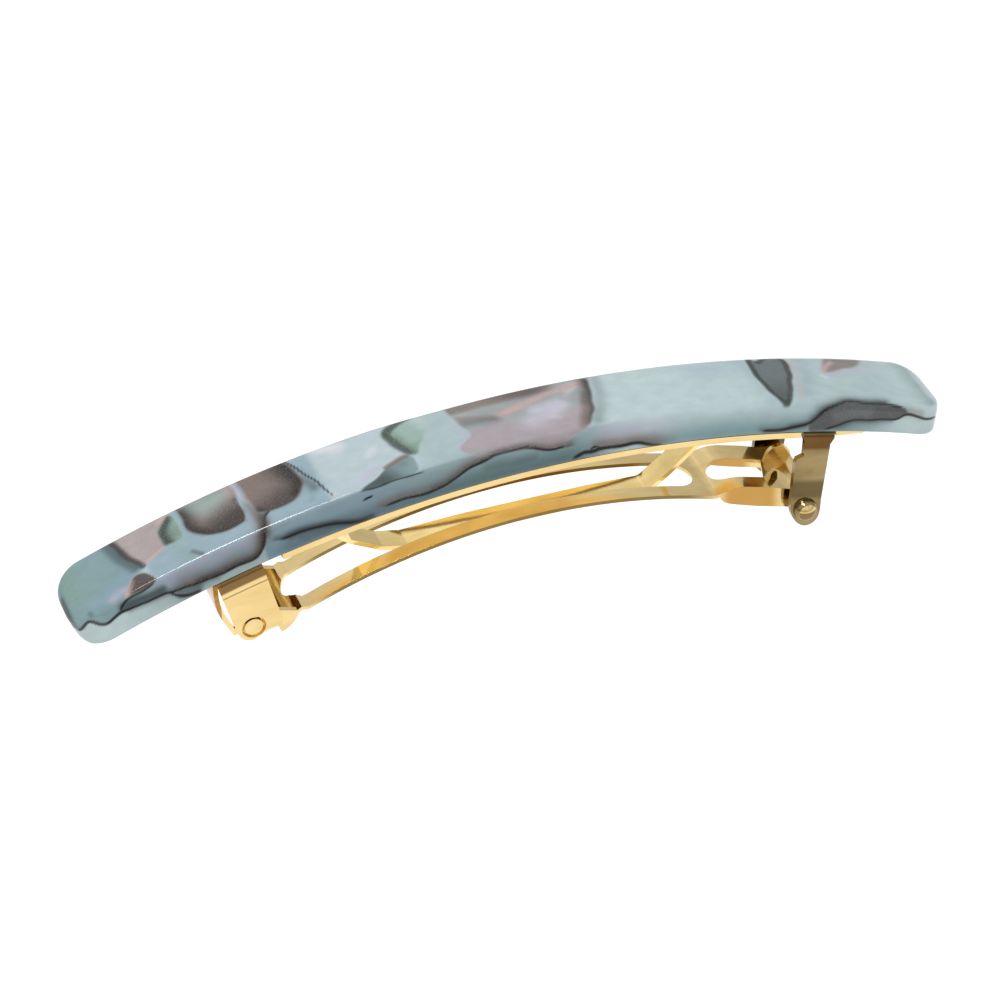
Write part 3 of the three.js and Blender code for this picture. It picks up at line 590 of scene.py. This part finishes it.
def marbling(s, w):
    """How much of each pigment lies at each point, 0 to 1. Cells clear what lies under them."""
    bar = PaintedBar(s, w)
    for coat in (
        paint_ground,
        paint_near_side_shade_and_hem,
        paint_end_cell,
        paint_sprout,
        paint_egg,
        paint_cloak,
        paint_pebble,
        paint_arrow,
        paint_fin,
        paint_fan,
        paint_heart,
        paint_wing,
        paint_hem_shade,
        paint_middle_shade,
        paint_tail,
        paint_veins,
    ):
        coat(bar)
    return bar.layers


# ---- the bar's shape, in mm: s along its top arc, y across, h below the top ----
BAR_LENGTH = 100.4
BAR_RADIUS = 131.8
BAR_TOP_WIDTH = 8.8
BAR_BOTTOM_WIDTH = 11.3
BAR_THICKNESS = 3.4
PLAN_RADIUS = 3.5  # rounding of the ends seen from above
NOSE_LENGTH = 3.8  # rounding of the top towards each end
NOSE_DROP = 1.2
HEEL_RADIUS = 1.1  # rounding of the underside at each end
CRISP_EDGE = 0.55  # how far the long edges are cut back at the hinge end
SOFT_EDGE = 1.1  # and at the catch end
EDGE_CHANGE = (-16, -4)  # the edges turn from crisp to soft between these s
FOOT_EDGE = 0.4  # how far the lower edges are cut back
SKIN = 0.012  # the visual bar lies this far inside the CAD bar
NOSE_RINGS = 26
ARC_RINGS = 470
TOP_STEPS, EDGE_STEPS, SIDE_STEPS, FOOT_STEPS, UNDER_STEPS = 24, 9, 24, 6, 5


def ease(distance, length):
    """0 up to a start, then curving to 1 over the length, as a quarter circle does."""
    t = np.clip(distance / length, 0, 1)
    return 1 - np.sqrt(1 - t * t)


def straight(a, b, steps):
    """Points from a towards b, without b itself."""
    return [a + (b - a) * t for t in np.linspace(0, 1, steps, endpoint=False)]


def bend(a, corner, b, steps):
    """Points of the curve from a to b that rounds off a corner, without b itself."""
    along = np.linspace(0, 1, steps, endpoint=False)
    return [(1 - t) ** 2 * a + 2 * t * (1 - t) * corner + t * t * b for t in along]


def towards(corner, other, reach):
    """The point at a reach from a corner, on the straight line to another point."""
    return corner + (other - corner) * reach / np.linalg.norm((other - corner)[:2])


def section(s):
    """Half of the cross-section at s, from the middle of the top to the middle of the
    underside, as rows of (y, h, w), where w is the distance across the unrolled bar."""
    past_middle = abs(s) - BAR_LENGTH / 2
    top = NOSE_DROP * ease(past_middle + NOSE_LENGTH, NOSE_LENGTH) + SKIN
    heel = HEEL_RADIUS * ease(past_middle + HEEL_RADIUS, HEEL_RADIUS)
    bottom = BAR_THICKNESS - heel - SKIN
    pinch = PLAN_RADIUS * ease(past_middle + PLAN_RADIUS, PLAN_RADIUS)
    slope = (BAR_BOTTOM_WIDTH - BAR_TOP_WIDTH) / 2 / BAR_THICKNESS
    high = BAR_TOP_WIDTH / 2 - pinch - SKIN + slope * top
    low = BAR_TOP_WIDTH / 2 - pinch - SKIN + slope * bottom
    soften = float(step(np.array(s), *EDGE_CHANGE))
    edge_cut = CRISP_EDGE + (SOFT_EDGE - CRISP_EDGE) * soften
    edge_cut = min(edge_cut, (bottom - top) * 0.4, high * 0.6)
    foot_cut = min(FOOT_EDGE, (bottom - top) * 0.3, low * 0.5)
    crown = np.array((0, top, 0))
    edge = np.array((high, top, EDGE_W))
    foot = np.array((low, bottom, EDGE_W + bottom))
    middle = np.array((0, bottom, EDGE_W + bottom + low))
    edge_start, edge_end = towards(edge, crown, edge_cut), towards(edge, foot, edge_cut)
    foot_start, foot_end = towards(foot, edge, foot_cut), towards(foot, middle, foot_cut)
    return np.array(
        straight(crown, edge_start, TOP_STEPS)
        + bend(edge_start, edge, edge_end, EDGE_STEPS)
        + straight(edge_end, foot_start, SIDE_STEPS)
        + bend(foot_start, foot, foot_end, FOOT_STEPS)
        + straight(foot_end, middle, UNDER_STEPS)
        + [middle]
    )


def ring(s):
    """The whole cross-section at s, as rows of (s, y, h, w)."""
    far = section(s)
    near = far[-2:0:-1] * (-1, 1, -1)
    loop = np.vstack((far, near))
    return np.column_stack((np.full(len(loop), s), loop))


def tip(end_ring):
    """The point that closes an end of the bar."""
    return np.array((end_ring[0, 0], 0, end_ring[:, 2].mean(), 0))


def stations():
    """The places s of the rings, closer together at the rounded ends."""
    straight_half = BAR_LENGTH / 2 - NOSE_LENGTH
    end = straight_half + NOSE_LENGTH * np.sin(np.linspace(0, math.pi / 2, NOSE_RINGS))
    along = np.linspace(-straight_half, straight_half, ARC_RINGS)
    return np.concatenate((-end[:0:-1], along, end[1:]))


def rolled(s, y, h):
    """Points of the arched bar in metres, from places on the unrolled one in mm."""
    angle = s / BAR_RADIUS
    reach = BAR_RADIUS - h
    xyz = np.stack((reach * np.sin(angle), y, reach * np.cos(angle) - BAR_RADIUS), 1)
    return xyz * MM + np.array(APEX)


def faces_between(rings, size):
    """Faces that join rings of one size, and fans that close both ends on the last two points."""
    faces = []
    for first in range(0, (rings - 1) * size, size):
        for j in range(size):
            k = (j + 1) % size
            faces.append((first + j, first + size + j, first + size + k, first + k))
    last = (rings - 1) * size
    hinge_tip, catch_tip = rings * size, rings * size + 1
    faces.extend((hinge_tip, j, (j + 1) % size) for j in range(size))
    faces.extend((catch_tip, last + (j + 1) % size, last + j) for j in range(size))
    return faces


def store_marbling(mesh, s, w, h):
    """Keeps the pigments and the unrolled place of each point, for the material to read."""
    for name, amount in marbling(s, w).items():
        layer = mesh.attributes.new(name, "FLOAT", "POINT")
        layer.data.foreach_set("value", np.clip(amount, 0, 1).astype(np.float32))
    unrolled = mesh.attributes.new("unrolled", "FLOAT_VECTOR", "POINT")
    unrolled.data.foreach_set("vector", np.column_stack((s, w, h)).astype(np.float32).ravel())


def make_bar():
    rings = [ring(s) for s in stations()]
    points = np.vstack(rings + [tip(rings[0]), tip(rings[-1])])
    s, y, h, w = points.T
    mesh = bpy.data.meshes.new("marbled_bar")
    mesh.from_pydata(rolled(s, y, h).tolist(), [], faces_between(len(rings), len(rings[0])))
    mesh.polygons.foreach_set("use_smooth", [True] * len(mesh.polygons))
    store_marbling(mesh, s, w, h)
    bar = bpy.data.objects.new("marbled_bar", mesh)
    bpy.context.scene.collection.objects.link(bar)
    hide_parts("acetate_bar")
    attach(bar, "clip_base")
    return bar


# ---- materials ----
PALE_BASE = (0.77, 0.835, 0.84)
STREAK_SHADES = ((0.73, 0.73, 0.735, 1), (0.80, 0.80, 0.80, 1))
SPARKS = (
    ("sage", (0.80, 0.95, 0.86)),
    ("rose", (0.97, 0.85, 0.84)),
    ("taupe", (0.72, 0.66, 0.64)),
)
ACETATE_IOR = 1.47


def linear(colour):
    """An sRGB colour as the linear colour with opacity that the nodes take."""
    return tuple(c / 12.92 if c <= 0.04045 else ((c + 0.055) / 1.055) ** 2.4 for c in colour) + (1.0,)


class Nodes:
    """A material's node tree, with short calls for the nodes used here."""

    def __init__(self, name):
        self.material = bpy.data.materials.new(name)
        self.material.use_nodes = True
        self.tree = self.material.node_tree
        self.shader = self.tree.nodes["Principled BSDF"]

    def new(self, kind, **settings):
        node = self.tree.nodes.new(kind)
        for name, value in settings.items():
            setattr(node, name, value)
        return node

    def link(self, source, target):
        self.tree.links.new(source, target)

    def fill(self, sockets, values):
        """Sets each socket to a plain value, or links it to another node's output."""
        for socket, value in zip(sockets, values):
            if isinstance(value, (int, float, tuple)):
                socket.default_value = value
            else:
                self.link(value, socket)

    def attribute(self, name):
        return self.new("ShaderNodeAttribute", attribute_name=name)

    def math(self, operation, a, b=0.0):
        node = self.new("ShaderNodeMath", operation=operation)
        self.fill(node.inputs, (a, b))
        return node.outputs[0]

    def times(self, a, b):
        return self.math("MULTIPLY", a, b)

    def mix(self, amount, a, b, blend="MIX"):
        node = self.new("ShaderNodeMix", data_type="RGBA", blend_type=blend)
        self.fill((node.inputs[0], node.inputs[6], node.inputs[7]), (amount, a, b))
        return node.outputs[2]

    def noise(self, vector, scale, detail, stretch=(1, 1, 1)):
        mapping = self.new("ShaderNodeMapping")
        mapping.inputs["Scale"].default_value = stretch
        self.link(vector, mapping.inputs["Vector"])
        node = self.new("ShaderNodeTexNoise")
        node.inputs["Scale"].default_value = scale
        node.inputs["Detail"].default_value = detail
        self.link(mapping.outputs[0], node.inputs["Vector"])
        return node.outputs[0]

    def remap(self, value, low, high, to_low, to_high):
        """Carries a value softly from one range to another."""
        node = self.new("ShaderNodeMapRange", interpolation_type="SMOOTHSTEP")
        self.fill(list(node.inputs)[:5], (value, low, high, to_low, to_high))
        return node.outputs[0]

    def part(self, vector, axis):
        split = self.new("ShaderNodeSeparateXYZ")
        self.link(vector, split.inputs[0])
        return split.outputs[axis]

    def place(self, axis):
        """One object coordinate of the surface, in mm."""
        coords = self.new("ShaderNodeTexCoord").outputs["Object"]
        return self.math("DIVIDE", self.part(coords, axis), MM)

    def along(self):
        """How far along the clip the surface lies, in mm."""
        return self.place(0)

    def out(self):
        """How far the surface lies from the clip's middle line, to either side, in mm."""
        return self.math("ABSOLUTE", self.place(1))

    def depth(self):
        """Depth below the arc of the bar's top, in mm."""
        rise = self.math("ADD", self.place(2), BAR_RADIUS - APEX[2] / MM)
        along = self.along()
        squares = self.math("ADD", self.times(along, along), self.times(rise, rise))
        return self.math("SUBTRACT", BAR_RADIUS, self.math("SQRT", squares))

    def facing(self, axis):
        """One component of the surface's direction."""
        return self.part(self.new("ShaderNodeNewGeometry").outputs["Normal"], axis)

    def band(self, value, low, high, soft):
        """1 between low and high, falling to 0 over the soft distance outside them."""
        rising = self.remap(value, low - soft, low, 0, 1)
        return self.times(rising, self.remap(value, high, high + soft, 1, 0))


def acetate():
    """Polished marbled acetate: pigments laid over a pale aqua base, under a clear gloss."""
    nodes = Nodes("acetate")
    place = nodes.attribute("unrolled").outputs["Vector"]
    cloud = nodes.noise(place, 0.35, 3, (1, 1.4, 1))
    streak = nodes.noise(place, 0.7, 4, (0.8, 1.2, 1))
    grain = nodes.noise(place, 7.0, 2)
    colour = nodes.mix(nodes.remap(cloud, 0.3, 0.75, 0, 0.5), linear(BASE), linear(PALE_BASE))
    for name, pigment in PIGMENTS.items():
        colour = nodes.mix(nodes.attribute(name).outputs["Fac"], colour, linear(pigment))
    shade = nodes.mix(nodes.remap(streak, 0.25, 0.75, 0, 1), *STREAK_SHADES)
    colour = nodes.mix(1.0, colour, shade, "MULTIPLY")
    for name, spark in SPARKS:
        speckle = nodes.remap(grain, 0.55, 0.78, 0, 0.35)
        amount = nodes.times(nodes.attribute(name).outputs["Fac"], speckle)
        colour = nodes.mix(amount, colour, linear(spark))
    nodes.link(colour, nodes.shader.inputs["Base Color"])
    nodes.link(nodes.remap(cloud, 0.3, 0.7, 0.05, 0.09), nodes.shader.inputs["Roughness"])
    nodes.shader.inputs["IOR"].default_value = ACETATE_IOR
    return nodes.material


# The colours of the gold, as sRGB: the metal's own tones, and painted shade, painted reflections and a
# painted highlight, as marked below.
GOLD = (0.93, 0.83, 0.60)
BOW_GOLD = (1.0, 0.90, 0.63)
# Painted light: a darker gold for the shaded prongs, a painted highlight on the dimples, and painted dark
# reflections and shade in the dimples' middles, on the prongs' lower shanks, on the arm's near rails and
# skirts, and on the plate's curled-down end.
PRONG_SHADE_GOLD = (0.62, 0.54, 0.38)
DIMPLE_HIGHLIGHT_GOLD = (0.88, 0.78, 0.54)
DIMPLE_REFLECTION_BROWN = (0.46, 0.36, 0.20)
FOOT_SHADE_BROWN = (0.33, 0.28, 0.18)
RAIL_REFLECTION_BROWN = (0.42, 0.32, 0.13)
SKIRT_REFLECTION_AMBER = (0.72, 0.53, 0.24)
FLAP_SHADE_HONEY = (0.62, 0.44, 0.17)
# The metal's own warmer tones, for its clouds.
AMBER = (0.80, 0.64, 0.34)
HONEY = (0.74, 0.60, 0.33)
# Painted dark reflections on the prongs, and painted shade in the plate's fold and creases and at the
# prongs' roots.
BRONZE_REFLECTION = (0.50, 0.43, 0.29)
SHADE_COFFEE = (0.38, 0.24, 0.10)

# Where the painted shade, painted reflections and painted highlight on the gold lie, in mm: x along the
# clip, or the depth below the arc of the bar's top.
EAR_X = (-27.2, -27.6)
EAR_FOLD_DEPTH = (3.9, 5.15)
EAR_CREASE_DEPTH = (5.9, 5.98)
FLAP_X = (-33.15, -33.35)
RAIL_X = (-20, 18)
SKIRT_X = (23.5, 28)
PRONG_ROOT_DEPTH = (4.3, 5.6)
PRONG_FOOT_DEPTH = (10.2, 11.6)
DIMPLE_Y = (6.05, 6.15)  # how far from the middle line the dimples start

DRAWN_SCALE = 900
CLOUD_SCALE = 160
SPECK_SCALE = 5200
ROUNDING = 0.00006
SPECK_HEIGHT = 0.00002


def gold(name, tone=GOLD, deep=AMBER, deep_amount=0.3, roughness=0.16, tint=None):
    """Bright gold plating with faint drawn lines, a few warmer clouds and softly rounded edges; clouds in
    a bronze tone are painted reflections.
    The function tint paints dark reflections, shade and a highlight over parts of the piece."""
    nodes = Nodes(name)
    place = nodes.new("ShaderNodeTexCoord").outputs["Object"]
    cloud = nodes.noise(place, CLOUD_SCALE, 3, (1, 2, 2))
    drawn = nodes.noise(place, DRAWN_SCALE, 3, (0.12, 1, 1))
    speck = nodes.noise(place, SPECK_SCALE, 2)
    colour = nodes.mix(nodes.remap(cloud, 0.38, 0.7, 0, deep_amount), linear(tone), linear(deep))
    colour = nodes.mix(nodes.remap(drawn, 0.3, 0.7, 0, 0.18), colour, linear(deep))
    if tint:
        colour = tint(nodes, colour)
    nodes.link(colour, nodes.shader.inputs["Base Color"])
    nodes.shader.inputs["Metallic"].default_value = 1.0
    gloss = nodes.remap(drawn, 0.25, 0.75, roughness * 0.75, roughness * 1.3)
    nodes.link(gloss, nodes.shader.inputs["Roughness"])
    rounded = nodes.new("ShaderNodeBevel", samples=4)
    rounded.inputs["Radius"].default_value = ROUNDING
    grain = nodes.new("ShaderNodeBump")
    grain.inputs["Strength"].default_value = 0.12
    grain.inputs["Distance"].default_value = SPECK_HEIGHT
    nodes.link(speck, grain.inputs["Height"])
    nodes.link(rounded.outputs[0], grain.inputs["Normal"])
    nodes.link(grain.outputs[0], nodes.shader.inputs["Normal"])
    return nodes.material


def plate_painted_shade(nodes, colour):
    """Painted shade and a painted dark reflection: a brown band along the fold across the ears, a thin
    painted shadow in the creased bend, and painted shade in a darker honey colour on the curled-down end.
    """
    depth = nodes.depth()
    on_ears = nodes.remap(nodes.along(), *EAR_X, 0, 1)
    fold = nodes.times(nodes.band(depth, *EAR_FOLD_DEPTH, 0.35), on_ears)
    crease_shade = nodes.times(nodes.band(depth, *EAR_CREASE_DEPTH, 0.1), on_ears)
    flap_shade = nodes.remap(nodes.along(), *FLAP_X, 0, 0.85)
    colour = nodes.mix(nodes.times(fold, 0.85), colour, linear(SHADE_COFFEE))
    colour = nodes.mix(nodes.times(crease_shade, 0.6), colour, linear(SHADE_COFFEE))
    return nodes.mix(flap_shade, colour, linear(FLAP_SHADE_HONEY))


def arm_painted_reflections(nodes, colour):
    """Painted dark reflections: near-facing sides painted browner around the middle of the arm, and amber
    at its skirts.
    """
    across, along = nodes.facing(1), nodes.along()
    rail_reflection = nodes.times(nodes.remap(across, -0.8, -0.95, 0, 0.85), nodes.band(along, *RAIL_X, 5))
    skirt_reflection = nodes.times(nodes.remap(across, -0.5, -0.8, 0, 0.85), nodes.band(along, *SKIRT_X, 1.5))
    colour = nodes.mix(rail_reflection, colour, linear(RAIL_REFLECTION_BROWN))
    return nodes.mix(skirt_reflection, colour, linear(SKIRT_REFLECTION_AMBER))


def prong_painted_light(nodes, colour):
    """Painted light on the prongs: painted shade at the root, a shank painted darker downwards, and a
    painted highlight on the dimple with a painted dark reflection in its middle.
    """
    depth = nodes.depth()
    root = nodes.times(nodes.band(depth, *PRONG_ROOT_DEPTH, 0.5), 0.8)
    foot = nodes.times(nodes.band(depth, *PRONG_FOOT_DEPTH, 0.9), 0.75)
    dimple = nodes.remap(nodes.out(), *DIMPLE_Y, 0, 1)
    front = nodes.times(dimple, nodes.band(nodes.facing(2), -0.6, 0.15, 0.15))
    colour = nodes.mix(root, colour, linear(SHADE_COFFEE))
    colour = nodes.mix(foot, colour, linear(FOOT_SHADE_BROWN))
    colour = nodes.mix(dimple, colour, linear(DIMPLE_HIGHLIGHT_GOLD))
    return nodes.mix(nodes.times(front, 0.9), colour, linear(DIMPLE_REFLECTION_BROWN))


CREASE_ANGLE = math.radians(24.0)
WELD = 0.000001


def smoothing_group():
    """Geometry nodes that smooth the shading across shallow creases, and leave sharp ones crisp."""
    tree = bpy.data.node_groups.new("smooth_by_angle", "GeometryNodeTree")
    for way in ("INPUT", "OUTPUT"):
        tree.interface.new_socket("Geometry", in_out=way, socket_type="NodeSocketGeometry")
    start = tree.nodes.new("NodeGroupInput")
    end = tree.nodes.new("NodeGroupOutput")
    weld = tree.nodes.new("GeometryNodeMergeByDistance")
    weld.inputs["Distance"].default_value = WELD
    angle = tree.nodes.new("GeometryNodeInputMeshEdgeAngle")
    shallow = tree.nodes.new("FunctionNodeCompare")
    shallow.operation = "LESS_THAN"
    shallow.inputs[1].default_value = CREASE_ANGLE
    faces = tree.nodes.new("GeometryNodeSetShadeSmooth")
    edges = tree.nodes.new("GeometryNodeSetShadeSmooth")
    edges.domain = "EDGE"
    tree.links.new(start.outputs[0], weld.inputs[0])
    tree.links.new(weld.outputs[0], faces.inputs[0])
    tree.links.new(angle.outputs[0], shallow.inputs[0])
    tree.links.new(faces.outputs[0], edges.inputs[0])
    tree.links.new(shallow.outputs[0], edges.inputs["Shade Smooth"])
    tree.links.new(edges.outputs[0], end.inputs[0])
    return tree


def dress(node, material, smoothing):
    """Gives a CAD node its material, and smooths its shading without touching its mesh."""
    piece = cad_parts[node]
    piece.data.materials.clear()
    piece.data.materials.append(material)
    modifier = piece.modifiers.new("smooth", "NODES")
    modifier.node_group = smoothing


def make_gold():
    smoothing = smoothing_group()
    dress("base_plate", gold("plate_gold", tint=plate_painted_shade), smoothing)
    dress("clasp_arm", gold("arm_gold", deep=HONEY, roughness=0.12, tint=arm_painted_reflections), smoothing)
    dress("tension_bow", gold("bow_gold", BOW_GOLD, roughness=0.14), smoothing)
    # The prongs get a darker, painted-shade copy of the gold, with painted bronze reflections.
    prongs = gold("prong_shaded_gold", PRONG_SHADE_GOLD, BRONZE_REFLECTION, 0.9, 0.14, prong_painted_light)
    dress("catch_prong_near", prongs, smoothing)
    dress("catch_prong_far", prongs, smoothing)


make_bar().data.materials.append(acetate())
make_gold()

# ---- the studio: a pale floor, a soft lamp and a pale sky ----
FLOOR_LEVEL = -0.08  # under the arm when it swings fully open
FLOOR_REACH = 3.0
FLOOR_GREY = (0.3, 0.3, 0.3, 1)
FLOOR_GLOW = 0.8
LAMP_PLACE = (-0.14, -0.12, 0.62)
LAMP_SIZE = (0.30, 0.12)
LAMP_POWER = 2.0
SKY_LEVELS = ((0.0, 0.5), (0.22, 0.65), (0.52, 0.95), (1.0, 0.82))  # from the horizon up
SKY_CLOUD_SCALE = 2.6
SKY_CLOUD = (0.35, 0.65, 0.8, 1.15)  # noise from and to, then brightness from and to


def make_floor():
    mesh = bpy.data.meshes.new("floor")
    far, low = FLOOR_REACH, FLOOR_LEVEL
    corners = [(-far, -far, low), (far, -far, low), (far, far, low), (-far, far, low)]
    mesh.from_pydata(corners, [], [(0, 1, 2, 3)])
    floor = bpy.data.objects.new("floor", mesh)
    bpy.context.scene.collection.objects.link(floor)
    nodes = Nodes("floor")
    nodes.shader.inputs["Base Color"].default_value = FLOOR_GREY
    nodes.shader.inputs["Roughness"].default_value = 0.9
    nodes.shader.inputs["Emission Color"].default_value = (1, 1, 1, 1)
    nodes.shader.inputs["Emission Strength"].default_value = FLOOR_GLOW
    mesh.materials.append(nodes.material)


def make_lamp():
    """A soft box high up at the front left, which points at the clip."""
    data = bpy.data.lights.new("overhead", "AREA")
    data.shape = "RECTANGLE"
    data.size, data.size_y = LAMP_SIZE
    data.energy = LAMP_POWER
    lamp = bpy.data.objects.new("overhead", data)
    bpy.context.scene.collection.objects.link(lamp)
    lamp.location = LAMP_PLACE
    lamp.rotation_euler = (-Vector(LAMP_PLACE)).to_track_quat("-Z", "Y").to_euler()


def sky_ramp(tree):
    """Brightness from the horizon, and all below it, up to straight overhead."""
    ramp = tree.nodes.new("ShaderNodeValToRGB")
    elements = ramp.color_ramp.elements
    elements[0].position, elements[1].position = 0.0, 1.0
    for place, _ in SKY_LEVELS[1:-1]:
        elements.new(place)
    for element, (_, level) in zip(elements, SKY_LEVELS):
        element.color = (level, level, level, 1)
    return ramp


def make_world():
    """A pale studio all round, slightly uneven so that the gold has something to reflect."""
    world = bpy.data.worlds.new("studio")
    bpy.context.scene.world = world
    world.use_nodes = True
    tree = world.node_tree
    coords = tree.nodes.new("ShaderNodeTexCoord")
    parts = tree.nodes.new("ShaderNodeSeparateXYZ")
    ramp = sky_ramp(tree)
    cloud = tree.nodes.new("ShaderNodeTexNoise")
    cloud.inputs["Scale"].default_value = SKY_CLOUD_SCALE
    cloud.inputs["Detail"].default_value = 1.0
    vary = tree.nodes.new("ShaderNodeMapRange")
    for socket, amount in zip(list(vary.inputs)[1:5], SKY_CLOUD):
        socket.default_value = amount
    scale = tree.nodes.new("ShaderNodeVectorMath")
    scale.operation = "SCALE"
    background = tree.nodes["Background"]
    tree.links.new(coords.outputs["Generated"], parts.inputs[0])
    tree.links.new(coords.outputs["Generated"], cloud.inputs["Vector"])
    tree.links.new(parts.outputs["Z"], ramp.inputs[0])
    tree.links.new(cloud.outputs[0], vary.inputs[0])
    tree.links.new(ramp.outputs[0], scale.inputs[0])
    tree.links.new(vary.outputs[0], scale.inputs["Scale"])
    tree.links.new(scale.outputs[0], background.inputs["Color"])
    background.inputs["Strength"].default_value = 1.0


make_floor()
make_lamp()
make_world()
bpy.context.scene.view_settings.view_transform = "Standard"
